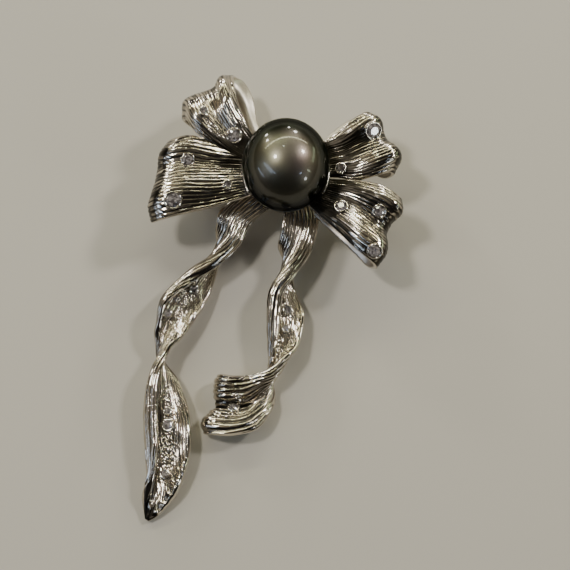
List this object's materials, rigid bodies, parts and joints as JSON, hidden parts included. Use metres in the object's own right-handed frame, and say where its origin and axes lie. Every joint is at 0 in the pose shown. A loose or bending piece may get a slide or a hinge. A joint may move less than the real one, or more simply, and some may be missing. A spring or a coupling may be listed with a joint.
{
  "type": "bow brooch",
  "caption": "Bow brooch with a large pearl at its knot, hollow ribbed loops, twisting ribbon tails, small tube-set stones and a bar pin behind.",
  "frame": {"origin": "the middle of the pin's stem, behind the pearl", "axes": "+X across the bow to the viewer's right, +Y up the bow away from the tails, +Z out of the bow's face"},
  "size_m": [0.0349, 0.0611, 0.0172],
  "materials": {
    "bow_metal": "bright rhodium plate over a ribbed casting",
    "pearl": "dark lustrous nacre",
    "pin_steel": "plain bright steel",
    "cut_stone": "polished, clear"
  },
  "bodies": {
    "root": {"bow": "bow_metal", "pearl": "pearl", "pin": "pin_steel", "stone_01": "cut_stone", "stone_02": "cut_stone", "stone_03": "cut_stone", "stone_04": "cut_stone", "stone_05": "cut_stone", "stone_06": "cut_stone", "stone_07": "cut_stone", "stone_08": "cut_stone", "stone_09": "cut_stone", "stone_10": "cut_stone", "stone_11": "cut_stone", "stone_12": "cut_stone", "stone_13": "cut_stone", "stone_14": "cut_stone", "stone_15": "cut_stone", "stone_16": "cut_stone", "stone_17": "cut_stone", "stone_18": "cut_stone"}
  },
  "joints": []
}
